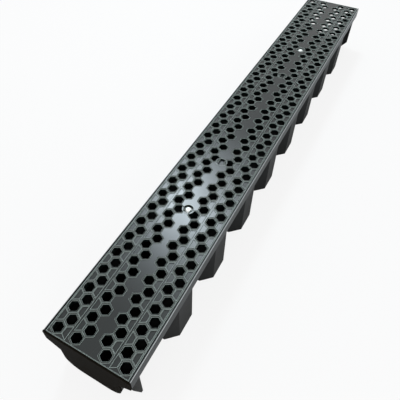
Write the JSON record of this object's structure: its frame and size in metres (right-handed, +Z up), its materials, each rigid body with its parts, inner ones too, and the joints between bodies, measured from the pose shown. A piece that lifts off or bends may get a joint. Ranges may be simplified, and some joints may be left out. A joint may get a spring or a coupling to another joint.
{
  "type": "channel drain",
  "caption": "Shallow plastic drainage channel with anchor pods along both sides, an end cap and a screwed-down honeycomb grating.",
  "frame": {"origin": "under the middle of the channel, at the level of its feet", "axes": "+X along the channel towards its open socket end, +Y across it, +Z up"},
  "size_m": [1, 0.125, 0.1],
  "materials": {
    "channel_plastic": "moulded dark grey polypropylene, satin",
    "grating_plastic": "moulded dark grey polypropylene, satin, slightly worn on the raised edges",
    "cap_plastic": "moulded dark grey polypropylene, satin",
    "zinc": "zinc-plated steel"
  },
  "bodies": {
    "root": {"channel": "channel_plastic", "grating": "grating_plastic", "end_cap": "cap_plastic", "screws": "zinc"}
  },
  "joints": []
}
